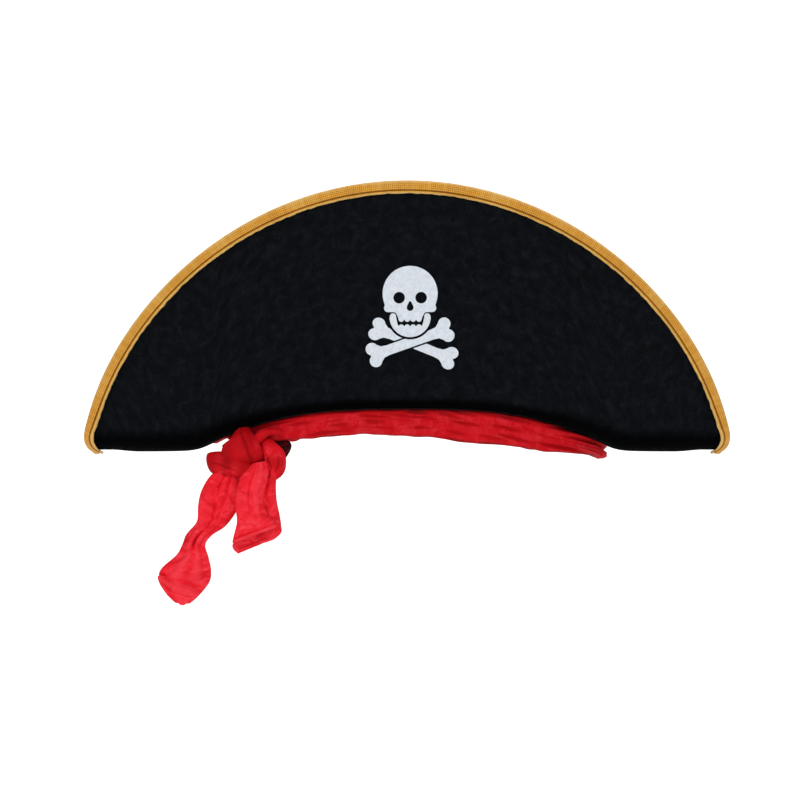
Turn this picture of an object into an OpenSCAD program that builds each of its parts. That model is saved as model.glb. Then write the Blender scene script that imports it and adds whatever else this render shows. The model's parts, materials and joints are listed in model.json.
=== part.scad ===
// Pirate hat: a soft velour hat with a half-moon flap turned up at the front and another at the
// back, a crown between them, gold binding round the edge, a skull and crossbones print, and a red
// velvet sash that is sewn round the head opening and knotted at one side.
// Frame: +X to the viewer's right, -Y to the front, +Z up. The origin is the centre of the head
// opening, level with the underside of the side wings. Millimetres.

/* [Overall] */
// Tip to tip, over the gold binding
hat_width = 450; // [400:1:540]
// Underside of the wings to the top of the binding
hat_height = 187; // [150:1:230]
// Front to back, over the top edges of the two flaps
flap_spread = 176; // [150:1:230]
// Squareness of the half-moon outline: 2 is an ellipse, less is more pointed
outline_power = 1.62; // [1.5:0.01:2]

/* [Head opening] */
// Clear width inside the sweatband, ear to ear
opening_width = 256; // [210:1:270]
// Clear depth inside the sweatband, forehead to nape
opening_depth = 92; // [75:1:112]
// How far the brim arches up over the forehead
arch_rise = 30; // [20:1:45]
// Width of that arch at its feet
arch_width = 290; // [270:1:330]

/* [Fabric] */
// Thickness of the velour, pile included
velour_t = 1; // [0.6:0.1:1.6]
// Thickness of the foam inside the brim
foam_t = 3; // [2:0.1:5]
// Thickness of the foam inside the crown
crown_foam_t = 2.5; // [1.5:0.1:4]
// Thickness of the nonwoven lining
lining_t = 0.8; // [0.5:0.1:1.5]

/* [Brim folds] */
// Radius of the fold over the forehead
front_fold_r = 8; // [5:0.5:12]
// Radius of the fold along the wings
wing_fold_r = 16; // [9:0.5:20]
// Height of the line that the flaps bend about
hinge_z = 46; // [38:1:60]
// How far the middle of a flap is hollowed towards the crown
flap_hollow = 3; // [0:0.5:5]

/* [Crown] */
// Height of the crown above the top of the arch
crown_rise = 108; // [80:1:125]
// How far the crown swells at front and back
crown_swell = 4; // [0:0.5:6]
// Squareness of the crown's side view: 2 is an ellipse
crown_power = 3; // [2:0.1:4]

/* [Gold binding] */
// How far the binding covers each face of the brim
binding_w = 7; // [5:0.5:14]
// Thickness of the binding
binding_t = 1.3; // [0.8:0.1:2]

/* [Sweatband] */
// Height of the sweatband
sweatband_h = 26; // [18:1:32]
// Thickness of the sweatband
sweatband_t = 1; // [0.6:0.1:1.6]

/* [Sash] */
// Thickness of the folded sash round the opening
sash_t = 2.4; // [1.5:0.1:3.5]
// Height of the sash's lower edge at its highest, a little left of the middle
sash_drop_z = 12; // [6:0.5:16]
// Slope of the sash's lower edge, down to both sides of that
sash_slope = 6.5; // [0:0.5:8]
// The least height of the sash that shows below the brim
sash_least_h = 13; // [8:0.5:16]
// Thickness of the sash's hanging tails
tail_t = 7; // [5:0.5:9]
// Width of the rolled hem at the end of a tail
hem_w = 6; // [4:0.5:9]

/* [Print] */
// Thickness of the white print
print_t = 0.4; // [0.2:0.1:0.8]
// Width of the skull
skull_w = 38; // [28:1:48]
// Height of the skull's top above the wings' underside
print_top_z = 128.5; // [110:0.5:140]

/* [Care label] */
// Width of the blank label sewn behind the sweatband
label_w = 30; // [20:1:45]
// Length that the label hangs
label_h = 22; // [15:1:35]

/* [Hidden] */

seam_gap = 0.15;         // between pieces that are sewn edge to edge
hinge_gap = 0.8;         // between a flap and the brim that it bends on
binding_gap = 0.35;      // between the binding and the fabric inside it
print_gap = 0.1;         // the print lies on the pile
ply = foam_t + 2 * velour_t;
half_ply = ply / 2;
wall_t = crown_foam_t + lining_t + sweatband_t;
hole_a = opening_width / 2 + wall_t;      // half width of the hole in the brim
hole_b = opening_depth / 2 + wall_t;      // half depth of the hole in the brim
edge_x = hat_width / 2 - binding_t - binding_gap;
edge_y = flap_spread / 2 - half_ply - binding_t;
edge_z = hat_height - binding_t - binding_gap;
floor_power = 1.2;       // how the fold line closes in towards the tips
spread_power = 0.42;     // how the flaps' top edges close in towards the tips
arch_blend = 4;          // softness of the arch's feet
hole_step = 10;          // degrees between points round the head opening
tip_phi = 84;            // where the brim's layers stop, under the binding
flap_cells = 32;
binding_cells = 40;
nudge = 0.01;            // step for slopes

black = [0.03, 0.03, 0.035];
gold = [0.85, 0.6, 0.12];
red = [0.8, 0.05, 0.08];
white = [0.85, 0.87, 0.9];
grey = [0.25, 0.25, 0.27];

// ---------------------------------------------------------------- numbers and vectors
function unit(v) = v / norm(v);
function softer_max(a, b, k) = (a + b + sqrt((a - b) * (a - b) + k * k)) / 2;
function smooth(t) = let (c = min(1, max(0, t))) c * c * (3 - 2 * c);
function flat1(lists) = [for (l = lists) for (p = l) p];
function between(a, b, n) = [for (i = [0:n]) a + (b - a) * i / n];

// ---------------------------------------------------------------- the brim's middle surface
// x runs along the hat. s is the distance across the brim from its middle line, before it is
// folded up: the floor is flat as far as the fold, then a round fold, then the flap.
function rim(x) = max(0, 1 - pow(x / edge_x, 2));
function floor_z(x) = half_ply + softer_max(arch_rise * (1 - pow(abs(x) / (arch_width / 2), 3)), 0, arch_blend);
function top_z(x) = half_ply + (edge_z - half_ply) * pow(rim(x), 1 / outline_power);
function top_y(x) = edge_y * pow(rim(x), spread_power);
function hole_y(x) = (hole_b + seam_gap) * sqrt(max(0, 1 - pow(x / (hole_a + seam_gap), 2)));
function fold_y(x) = max(hole_y(x), hole_b * pow(rim(x), floor_power));
function rise(x) = max(nudge, top_z(x) - floor_z(x));
function reach(x) = max(nudge, top_y(x) - fold_y(x));
function fold_r(x) =
    let (blend = smooth((abs(x) - hole_a * 0.6) / (hole_a * 0.5)))
    min(front_fold_r + (wing_fold_r - front_fold_r) * blend, 0.7 * reach(x), 0.7 * rise(x));
function flap_len(x) =
    let (r = fold_r(x))
    sqrt(pow(reach(x), 2) + pow(rise(x) - r, 2) - r * r);
function fold_turn(x) =
    let (r = fold_r(x))
    atan2(rise(x) - r, reach(x)) + 90 - atan2(flap_len(x), r);
function fold_len(x) = fold_r(x) * fold_turn(x) * PI / 180;
function edge_s(x) = fold_y(x) + fold_len(x) + flap_len(x);

// Distance out from the middle plane, and height, of the point at s on the section at x.
function section(x, s) =
    let (d = s - fold_y(x), bent = fold_len(x), turn = fold_turn(x), r = fold_r(x))
    d <= 0 ? [s, floor_z(x)] :
    d <= bent ? let (a = d / r * 180 / PI) [fold_y(x) + r * sin(a), floor_z(x) + r * (1 - cos(a))] :
    let (l = d - bent, hollow = flap_hollow * flap_len(x) / flap_len(0) * sin(180 * l / flap_len(x)))
    [fold_y(x) + r * sin(turn) + l * cos(turn) - hollow, floor_z(x) + r * (1 - cos(turn)) + l * sin(turn)];

// A negative s is the back half of the brim.
function brim(x, s) =
    let (p = section(x, abs(s)))
    [x, s < 0 ? p[0] : -p[0], p[1]];
function brim_normal(x, s) =
    unit(cross(brim(x + nudge, s) - brim(x - nudge, s), brim(x, s + nudge) - brim(x, s - nudge)));
function brim_off(x, s, off) = brim(x, s) + off * pressed(x) * brim_normal(x, s);

// The layers are pressed thinner towards the tips, where the binding gathers them.
function pressed(x) = 1 - 0.52 * smooth((abs(x) / edge_x - 0.83) / 0.1);

// The s at which a section reaches a height on its flap.
function s_at_z(x, z) =
    let (r = fold_r(x), turn = fold_turn(x), up = z - floor_z(x))
    fold_y(x) + (up < r * (1 - cos(turn)) ? r * acos(1 - up / r) * PI / 180 :
                 fold_len(x) + (up - r * (1 - cos(turn))) / sin(turn));

// ---------------------------------------------------------------- solids from grids
// A closed solid between two grids of points with the same rows and columns.
module slab(low, high) {
    n = len(low);
    m = len(low[0]);
    size = n * m;
    pts = concat(flat1(low), flat1(high));
    under = [for (i = [0:n - 2]) for (j = [0:m - 2])
        let (a = i * m + j) each [[a, a + m, a + m + 1], [a, a + m + 1, a + 1]]];
    over = [for (f = under) [f[0] + size, f[2] + size, f[1] + size]];
    border = concat([for (j = [0:m - 2]) [j, j + 1]],
                    [for (i = [0:n - 2]) [i * m + m - 1, (i + 1) * m + m - 1]],
                    [for (j = [m - 1:-1:1]) [(n - 1) * m + j, (n - 1) * m + j - 1]],
                    [for (i = [n - 1:-1:1]) [i * m, (i - 1) * m]]);
    walls = [for (e = border) each [[e[0], e[1], e[1] + size], [e[0], e[1] + size, e[0] + size]]];
    polyhedron(points = pts, faces = concat(under, over, walls));
}

// A closed ring between two bands of points: each is a list of columns round the ring.
module ring(inner, outer) {
    n = len(inner);
    m = len(inner[0]);
    size = n * m;
    pts = concat(flat1(inner), flat1(outer));
    inside = [for (i = [0:n - 1]) for (j = [0:m - 2])
        let (a = i * m + j, b = ((i + 1) % n) * m + j) each [[a, b, b + 1], [a, b + 1, a + 1]]];
    outside = [for (f = inside) [f[0] + size, f[2] + size, f[1] + size]];
    rims = [for (i = [0:n - 1])
        let (a = i * m, b = ((i + 1) % n) * m, c = a + m - 1, d = b + m - 1)
        each [[a, a + size, b + size], [a, b + size, b], [c, d, d + size], [c, d + size, c + size]]];
    polyhedron(points = pts, faces = concat(inside, outside, rims));
}

// A tube through rings of points, with fan ends, for a convex section.
module tube(rings) {
    n = len(rings);
    m = len(rings[0]);
    sides = [for (i = [0:n - 2]) for (j = [0:m - 1])
        let (a = i * m + j, b = i * m + (j + 1) % m) each [[a, b, b + m], [a, b + m, a + m]]];
    start = [for (j = [1:m - 2]) [0, j + 1, j]];
    end = [for (j = [1:m - 2]) [(n - 1) * m, (n - 1) * m + j, (n - 1) * m + j + 1]];
    polyhedron(points = flat1(rings), faces = concat(sides, start, end));
}

// ---------------------------------------------------------------- brim: base and flap layers
// Where the base's grid has its columns: evenly round the head opening, and out along the wings.
tip_x = edge_x * sin(tip_phi);
wing_xs = [for (i = [1:7]) hole_a + seam_gap + (tip_x - hole_a - seam_gap) * sin(90 * i / 7)];
base_xs = concat([for (i = [6:-1:0]) -wing_xs[i]],
                 [for (a = [-90:hole_step:90]) (hole_a + seam_gap) * sin(a)], wing_xs);

// The base's rows: hole or middle line, four steps round the fold, and the hinge line.
function base_rows(x) =
    let (low = hole_y(x) + (abs(x) >= hole_a ? seam_gap / 2 : 0),
         high = min(s_at_z(x, hinge_z) - hinge_gap / 2, edge_s(x)),
         step = min(0.6, (high - low) / 7),
         wanted = concat([low], between(fold_y(x), fold_y(x) + fold_len(x), 4), [high]))
    [for (i = [0:6]) max(low + i * step, min(high - (6 - i) * step, wanted[i]))];

// The layers are cut upright round the head opening.
function floor_slope(x) = (floor_z(x + nudge) - floor_z(x - nudge)) / (2 * nudge);
function base_column(x, off) =
    let (rows = base_rows(x), upright = off * pressed(x) * norm([1, floor_slope(x)]))
    concat([brim(x, rows[0]) - [0, 0, upright]], [for (i = [1:6]) brim_off(x, rows[i], off)]);

module base_layer(low, high) {
    slab([for (x = base_xs) base_column(x, low)], [for (x = base_xs) base_column(x, high)]);
}

// A flap ends where the outline is only a little above the hinge line.
flap_end_up = 3.5;
flap_phi = acos(pow((hinge_z + flap_end_up - half_ply) / (edge_z - half_ply), outline_power / 2));
flap_xs = [for (a = between(-flap_phi, flap_phi, flap_cells)) edge_x * sin(a)];
function flap_rows(x) = between(s_at_z(x, hinge_z) + hinge_gap / 2, edge_s(x), 10);

module flap_layer(low, high) {
    slab([for (x = flap_xs) [for (s = flap_rows(x)) brim_off(x, s, low)]],
         [for (x = flap_xs) [for (s = flap_rows(x)) brim_off(x, s, high)]]);
}

module front_base_velour() { color(black) base_layer(foam_t / 2, half_ply); }
module front_base_foam() { color(grey) base_layer(-foam_t / 2, foam_t / 2); }
module front_base_facing() { color(black) base_layer(-half_ply, -foam_t / 2); }
module front_flap_velour() { color(black) flap_layer(foam_t / 2, half_ply); }
module front_flap_foam() { color(grey) flap_layer(-foam_t / 2, foam_t / 2); }
module front_flap_facing() { color(black) flap_layer(-half_ply, -foam_t / 2); }
module to_back() { mirror([0, 1, 0]) children(); }

// ---------------------------------------------------------------- gold binding
// phi goes once round the brim's edge: 0 at the front, 90 at the right tip, 180 at the back.
function edge_flat(phi) =
    let (x = edge_x * sin(phi))
    [x, (cos(phi) < 0 ? -1 : 1) * edge_s(x)];
function edge_at(phi) = let (e = edge_flat(phi)) brim(e[0], e[1]);

// Along the edge, inwards across the brim, and out of its underside.
function edge_axes(phi) =
    let (d = 1,
         along = unit(edge_at(phi + d) - edge_at(phi - d)),
         run = edge_flat(phi + d) - edge_flat(phi - d),
         turned = unit([run[1], -run[0]]),
         e = edge_flat(phi),
         inner = brim(e[0] + turned[0] * binding_w, e[1] + turned[1] * binding_w) - edge_at(phi),
         inwards = unit(inner - (inner * along) * along))
    [inwards, cross(inwards, along)];

// The channel's section in pairs, outside and inside, from one lip round the edge to the other.
binding_pairs = let (h = half_ply + binding_gap, t = binding_t, g = binding_gap)
    [[[binding_w, h + t], [binding_w, h]],
     [[1, h + t], [0, h]],
     [[-g - t, h * 0.55], [-g, h * 0.5]],
     [[-g - t, -h * 0.55], [-g, -h * 0.5]],
     [[1, -h - t], [0, -h]],
     [[binding_w, -h - t], [binding_w, -h]]];

module binding(from, to, cells) {
    pairs = len(binding_pairs);
    m = 2 * pairs;
    pts = [for (phi = between(from, to, cells))
        let (e = edge_at(phi), axes = edge_axes(phi))
        each [for (k = [0:m - 1])
            let (q = k < pairs ? binding_pairs[k][0] : binding_pairs[m - 1 - k][1])
            e + q[0] * axes[0] + q[1] * axes[1]]];
    sides = [for (i = [0:cells - 1]) for (j = [0:m - 1])
        let (a = i * m + j, b = i * m + (j + 1) % m) each [[a, a + m, b + m], [a, b + m, b]]];
    last = cells * m;
    ends = [for (k = [0:pairs - 2])
        let (a = k, b = k + 1, c = m - 2 - k, d = m - 1 - k)
        each [[a, b, c], [a, c, d], [a + last, c + last, b + last], [a + last, d + last, c + last]]];
    polyhedron(points = pts, faces = concat(sides, ends));
}

tip_gap_phi = 0.25;      // between the flap's binding and the tip's
module front_binding() { color(gold) binding(-flap_phi, flap_phi, binding_cells); }
module right_tip_binding() {
    color(gold) binding(flap_phi + tip_gap_phi, 180 - flap_phi - tip_gap_phi, 28);
}
module left_tip_binding() { mirror([1, 0, 0]) right_tip_binding(); }

// ---------------------------------------------------------------- crown
// a goes round the opening from the right; up is 0 at the brim and 1 at the top of the crown.
function foot_z(a) = floor_z(hole_a * cos(a)) - half_ply;
function sash_low_z(a) =
    let (x = hole_a * cos(a) - sash_peak_x)
    min(sash_drop_z - (norm([x, sash_soft]) - sash_soft) * tan(sash_slope), foot_z(a) - sash_least_h);
sash_peak_x = -25;       // where the sash's lower edge is highest
sash_soft = 25;          // how round that is
crown_top_z = arch_rise + crown_rise;
function crown(a, up) =
    let (g = pow(sin(90 * max(0, up)), 2 / crown_power),
         r = pow(max(0, cos(90 * up)), 2 / crown_power),
         swell = crown_swell * sin(180 * g))
    [r * hole_a * cos(a), r * (hole_b + swell) * sin(a), foot_z(a) * (1 - g) + crown_top_z * g];

// The same surface moved outwards; a point under the brim is below the opening's edge.
function crown_off(a, up, off) =
    up > 0.999 ? [0, 0, crown_top_z + off] :
    let (d = 0.5, e = 0.002,
         n = up < 0.02 ? unit([hole_b * cos(a), hole_a * sin(a), 0]) :
             unit(cross(crown(a + d, up) - crown(a - d, up), crown(a, up + e) - crown(a, up - e))))
    crown(a, up) + off * n;
function below(a, z, off) =
    let (n = unit([hole_b * cos(a), hole_a * sin(a), 0]))
    [hole_a * cos(a), hole_b * sin(a), z] + off * n;

crown_ups = [0.02, 0.1, 0.22, 0.36, 0.52, 0.68, 0.84];
round_as = [for (a = [0:hole_step:359]) a];
seam_up = 0.6;           // where the wall meets the top panel
lining_hem = 2;          // how far the inner layers stop above the sash's lower edge
stand = 1.04 * ply + seam_gap;   // the wall stands on the brim, this far above its underside

// A cap: a skirt down to the sash's lower edge, the wall, and a domed top.
module cap(low, high) {
    cols = [for (a = round_as)
        concat([sash_low_z(a) + lining_hem, foot_z(a), foot_z(a) + stand], crown_ups)];
    n = len(round_as);
    m = len(cols[0]);
    size = n * m + 1;
    function at(i, j, off) = j < 3 ? below(round_as[i], cols[i][j], off) : crown_off(round_as[i], cols[i][j], off);
    function skin(off) = concat([for (i = [0:n - 1]) for (j = [0:m - 1]) at(i, j, off)],
                                [crown_off(0, 1, off)]);
    wall = [for (i = [0:n - 1]) for (j = [0:m - 2])
        let (a = i * m + j, b = ((i + 1) % n) * m + j) each [[a, b, b + 1], [a, b + 1, a + 1]]];
    tip = [for (i = [0:n - 1]) [i * m + m - 1, ((i + 1) % n) * m + m - 1, n * m]];
    inside = concat(wall, tip);
    outside = [for (f = inside) [f[0] + size, f[2] + size, f[1] + size]];
    rims = [for (i = [0:n - 1])
        let (a = i * m, b = ((i + 1) % n) * m) each [[a, a + size, b + size], [a, b + size, b]]];
    polyhedron(points = concat(skin(low), skin(high)), faces = concat(inside, outside, rims));
}

module crown_interlining() { color(grey) cap(-crown_foam_t, 0); }
module crown_lining() { color(grey) cap(-crown_foam_t - lining_t, -crown_foam_t); }

// Half of the wall, standing on the brim, from one side seam to the other.
module crown_wall(from) {
    as = between(from, from + 180, 18);
    ups = [0.02, 0.1, 0.22, 0.36, 0.52, seam_up];
    function column(a, off) = concat([below(a, foot_z(a) + stand, off)], [for (up = ups) crown_off(a, up, off)]);
    slab([for (a = as) column(a, seam_gap / 2 + velour_t)], [for (a = as) column(a, seam_gap / 2)]);
}
module crown_wall_front() { color(black) crown_wall(180); }
module crown_wall_back() { color(black) crown_wall(0); }

module crown_top() {
    ups = [seam_up + 0.01, 0.68, 0.76, 0.84, 0.92];
    n = len(round_as);
    m = len(ups);
    size = n * m + 1;
    function skin(off) = concat([for (a = round_as) for (u = ups) crown_off(a, u, off)], [crown_off(0, 1, off)]);
    inside = concat(
        [for (i = [0:n - 1]) for (j = [0:m - 2])
            let (a = i * m + j, b = ((i + 1) % n) * m + j) each [[a, b, b + 1], [a, b + 1, a + 1]]],
        [for (i = [0:n - 1]) [i * m + m - 1, ((i + 1) % n) * m + m - 1, n * m]]);
    outside = [for (f = inside) [f[0] + size, f[2] + size, f[1] + size]];
    rims = [for (i = [0:n - 1])
        let (a = i * m, b = ((i + 1) % n) * m) each [[a, a + size, b + size], [a, b + size, b]]];
    color(black) polyhedron(points = concat(skin(seam_gap / 2), skin(seam_gap / 2 + velour_t)),
                            faces = concat(inside, outside, rims));
}

// ---------------------------------------------------------------- sweatband, label and sash band
module sweatband() {
    function column(a, off) = let (z = sash_low_z(a) + lining_hem) [below(a, z, off), below(a, z + sweatband_h, off)];
    color(grey) ring([for (a = round_as) column(a, -wall_t)],
                     [for (a = round_as) column(a, -wall_t + sweatband_t - seam_gap)]);
}

// The sash's upper edge follows the underside of the brim.
tuck_gap = 0.6;          // between the two
module sash_band() {
    function column(a, off) =
        let (foot = below(a, sash_low_z(a), off))
        [foot, [foot[0], foot[1], floor_z(foot[0]) - 1.04 * half_ply - tuck_gap]];
    color(red) ring([for (a = round_as) column(a, seam_gap)], [for (a = round_as) column(a, sash_t)]);
}

label_t = 0.4;
module care_label() {
    y = hole_b - wall_t - label_t - 0.6;
    z = sash_low_z(90) + lining_hem + sweatband_h;
    color(white) translate([-label_w / 2, y, z - label_h]) cube([label_w, label_t, label_h]);
}

// ---------------------------------------------------------------- sash: knot, tails and hems
// A soft strand: [x, y, z, half width, half thickness] at each point, flat side to the front.
function strand_rings(pts, sides) =
    [for (i = [0:len(pts) - 1])
        let (a = pts[max(0, i - 1)], b = pts[min(len(pts) - 1, i + 1)], p = pts[i],
             t = unit([b[0] - a[0], b[1] - a[1], b[2] - a[2]]),
             w = unit(cross([0, 1, 0], t)),
             h = cross(t, w))
        [for (k = [0:sides - 1])
            let (g = 360 * k / sides)
            [p[0], p[1], p[2]] + p[3] * cos(g) * w + p[4] * sin(g) * h]];

sash_front_y = -hole_b - sash_t;
knot_x = -0.83 * hole_a;      // the knot's middle, at the front left of the opening
knot_z = foot_z(acos(knot_x / hole_a)) - 20;
knot_y = sash_front_y * sqrt(1 - pow(knot_x / (hole_a + sash_t), 2)) - 10;
half_tail = tail_t / 2;

// Each strand's points are offsets from the knot's middle: [x, y, z, half width, half thickness].
wrap_pts = [[25, -5, 10, 7, 4.5], [14, -3.5, 8, 11, 6.5], [2, 0, 3, 13, 7.5], [-9, 4, -4, 12.5, 7.5],
            [-18, 9, -8, 10, 6]];
loop_pts = [[29, -7, -5, 4, 4], [25, -7, -10, 7, 5.5], [18, -6.5, -16, 7, 5.5], [10, -5.5, -18, 4, 4]];

function placed(pts) = [for (p = pts) [p[0] + knot_x, p[1] + knot_y, p[2] + knot_z, p[3], p[4]]];
module knot_wrap() { color(red) tube(strand_rings(placed(wrap_pts), 12)); }
module knot_loop() { color(red) tube(strand_rings(placed(loop_pts), 12)); }

// The points of both tails, with the hinge at the first. They hang just below the knot.
tail_gap = 1;
long_tail_root = [knot_x - 12, knot_y + 4.5, knot_z - 19.5 - tail_gap];
short_tail_root = [knot_x + 13, knot_y - 6, knot_z - 24.5 - tail_gap];
long_tail = [[0, 0, 0, 3, 2], [-1, 0, -3, 6.5, 3], [-3, 0, -8, 10, 3.5], [-7, 0, -16, 12, 3.5],
             [-12, 0, -28, 10.5, 3.5], [-18, 0, -38, 8.5, 3.5], [-24, 0, -47, 7.5, 3.5],
             [-27, 0, -57, 12, 3.5], [-30, 0, -67, 16, 3.5], [-32, 0, -77, 15.5, 3.5]];
short_tail = [[0, 0, 0, 3, 2], [0, 0, -3, 6.5, 3], [-1, 0, -8, 10, 3.5], [-3, 0, -15, 13, 3.5],
              [-5, 0, -24, 14, 3.5], [-7, 0, -34, 15.5, 3.5]];
function tail_points(root, pts, first, last) =
    [for (i = [first:last]) [root[0] + pts[i][0], root[1] + pts[i][1], root[2] + pts[i][2],
                             pts[i][3], pts[i][4] * half_tail / 3.5]];

module tail(root, pts) {
    color(red) tube(strand_rings(tail_points(root, pts, 0, len(pts) - 1), 12));
}

// A rolled hem closes the end of a tail.
module hem(root, pts) {
    last = pts[len(pts) - 1];
    before = pts[len(pts) - 2];
    way = unit([last[0] - before[0], 0, last[2] - before[2]]);
    at = [root[0] + last[0], root[1], root[2] + last[2]];
    steps = [[seam_gap, 1, 1], [hem_w * 0.5, 0.98, 1.1], [hem_w, 0.8, 0.9], [hem_w * 1.35, 0.45, 0.5]];
    color(red) tube([for (st = steps)
        let (w = unit(cross([0, 1, 0], way)), h = cross(way, w))
        [for (k = [0:11])
            at + st[0] * way + last[3] * st[1] * cos(30 * k) * w + half_tail * st[2] * sin(30 * k) * h]]);
}

module sash_tail_long() { tail(long_tail_root, long_tail); }
module sash_tail_short() { tail(short_tail_root, short_tail); }
module tail_long_hem() { hem(long_tail_root, long_tail); }
module tail_short_hem() { hem(short_tail_root, short_tail); }

// ---------------------------------------------------------------- print
// Drawn flat with the origin at the top of the skull's middle, y up, in units of the skull's width.
function arc(x, y, r, from, to, n) =
    [for (i = [0:n]) let (a = from + (to - from) * i / n) [x + r * cos(a), y + r * sin(a)]];

// The right half of an outline, from the top down, and its mirrored half back up.
function both_sides(half) =
    concat(half, [for (i = [len(half) - 1:-1:0]) [-half[i][0], half[i][1]]]);

cranium_half = concat(
    arc(0, -0.5, 0.5, 88, -16, 24),                      // skull
    arc(0.402, -0.765, 0.073, 40, -90, 8),               // cheek
    [[0.3, -0.838], [0.262, -0.85], [0.222, -0.925]],
    arc(0.1605, -0.965, 0.05, -10, -170, 8),             // upper teeth
    arc(0.0535, -0.965, 0.05, -10, -170, 8));
module cranium_2d() {
    difference() {
        polygon(both_sides(cranium_half));
        for (side = [-1, 1]) translate([side * 0.2, -0.576]) circle(d = 0.21, $fn = 36);
        hull() {
            translate([0, -0.755]) circle(d = 0.124, $fn = 24);
            translate([0, -0.665]) circle(d = 0.05, $fn = 24);
        }
    }
}

jaw_r = 0.376;
jaw_y = -0.916;
jaw_half = concat(
    arc(0.053, -1.11, 0.05, 160, 20, 6),                 // lower teeth
    arc(0.16, -1.11, 0.05, 160, 20, 6),
    [[0.228, -1.06], [0.252, -0.95]],
    arc(0.312, -0.914, 0.056, 180, 15, 10),              // arm
    arc(0, jaw_y, jaw_r, -4, -88, 20));
module jaw_2d() { polygon(both_sides(jaw_half)); }

bone_l = 1.39;           // between the middles of its knobs
bone_w = 0.185;
knob_r = 0.115;
knob_out = 0.113;
outline_gap = 0.03;
jaw_gap = 0.042;
module bone_2d(grow) {
    r = knob_r + grow;
    w = bone_w / 2 + grow;
    x = bone_l / 2;
    top = concat(arc(-x, knob_out, r, 240, 25, 16), [[-x + 0.17, w + 0.014], [-x + 0.27, w], [x - 0.27, w],
                 [x - 0.17, w + 0.014]], arc(x, knob_out, r, 155, -60, 16));
    polygon(concat(top, [for (i = [len(top) - 1:-1:0]) [top[i][0], -top[i][1]]]));
}
module over_place() { translate([0, -1.386]) rotate(19.2) children(); }
module under_place() { translate([0.06, -1.408]) rotate(-21.9) children(); }
module jaw_room_2d() { translate([0, jaw_y]) circle(r = jaw_r + jaw_gap, $fn = 72); }
module bone_under_2d() {
    difference() {
        under_place() scale([1.03, 0.92]) bone_2d(0);
        over_place() bone_2d(outline_gap);
        jaw_room_2d();
    }
}
module bone_over_2d() {
    difference() {
        over_place() bone_2d(0);
        jaw_room_2d();
    }
}

// A thin layer on the front flap, cut to a flat outline.
print_half_w = 0.95 * skull_w;
print_x = 0.055 * skull_w;      // it is printed a little right of the middle
print_h = 2 * skull_w;
module printed() {
    intersection() {
        print_layer();
        translate([print_x, 0, print_top_z]) rotate([90, 0, 0])
            linear_extrude(height = flap_spread) scale(skull_w) children();
    }
}
module print_layer() {
    xs = between(-print_half_w, print_half_w, 8);
    low = half_ply + print_gap;
    function rows(x) = between(s_at_z(x, print_top_z - print_h), s_at_z(x, print_top_z + 4), 6);
    slab([for (x = xs) [for (s = rows(x)) brim_off(x, s, low)]],
         [for (x = xs) [for (s = rows(x)) brim_off(x, s, low + print_t)]]);
}

module print_cranium() { color(white) printed() cranium_2d(); }
module print_jaw() { color(white) printed() jaw_2d(); }
module print_bone_over() { color(white) printed() bone_over_2d(); }
module print_bone_under() { color(white) printed() bone_under_2d(); }

crown_wall_front();
crown_wall_back();
crown_top();
crown_interlining();
crown_lining();
sweatband();
care_label();
front_base_velour();
front_base_foam();
front_base_facing();
to_back() front_base_velour();  // back_base_velour
to_back() front_base_foam();  // back_base_foam
to_back() front_base_facing();  // back_base_facing
front_flap_velour();
front_flap_foam();
front_flap_facing();
to_back() front_flap_velour();  // back_flap_velour
to_back() front_flap_foam();  // back_flap_foam
to_back() front_flap_facing();  // back_flap_facing
front_binding();
to_back() front_binding();  // back_binding
left_tip_binding();
right_tip_binding();
print_cranium();
print_jaw();
print_bone_over();
print_bone_under();
sash_band();
knot_wrap();
knot_loop();
sash_tail_long();
sash_tail_short();
tail_long_hem();
tail_short_hem();
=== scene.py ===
import json
import math

import bmesh
import bpy
import numpy as np
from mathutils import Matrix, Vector


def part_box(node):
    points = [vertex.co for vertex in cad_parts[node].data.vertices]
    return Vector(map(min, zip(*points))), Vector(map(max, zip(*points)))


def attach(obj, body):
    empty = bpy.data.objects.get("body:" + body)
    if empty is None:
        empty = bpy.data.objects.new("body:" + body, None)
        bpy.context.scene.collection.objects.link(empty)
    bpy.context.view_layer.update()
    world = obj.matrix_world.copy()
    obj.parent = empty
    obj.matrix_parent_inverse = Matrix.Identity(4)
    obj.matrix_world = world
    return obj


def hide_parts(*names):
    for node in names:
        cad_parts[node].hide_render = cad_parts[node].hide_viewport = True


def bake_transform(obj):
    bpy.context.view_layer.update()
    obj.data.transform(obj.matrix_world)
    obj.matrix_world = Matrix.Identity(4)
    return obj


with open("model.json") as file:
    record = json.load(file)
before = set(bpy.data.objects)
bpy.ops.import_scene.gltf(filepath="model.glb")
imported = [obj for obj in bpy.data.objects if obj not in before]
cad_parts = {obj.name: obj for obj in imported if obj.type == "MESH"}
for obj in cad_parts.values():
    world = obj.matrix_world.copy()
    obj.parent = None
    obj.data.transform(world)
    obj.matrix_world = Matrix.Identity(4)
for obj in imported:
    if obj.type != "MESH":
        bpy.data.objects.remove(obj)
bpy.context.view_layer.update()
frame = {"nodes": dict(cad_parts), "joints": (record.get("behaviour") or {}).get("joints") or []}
mm = 0.001


def boxMm(node):
    low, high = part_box(node)
    return np.array(low) / mm, np.array(high) / mm


# ---- sizes that the hat's pieces share, in millimetres, worked out from the frame
cloth = dict(velour=1.0, foam=3.0, lining=0.8, crownFoam=2.5)
ply = cloth["foam"] + 2 * cloth["velour"]
halfPly = ply / 2

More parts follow.
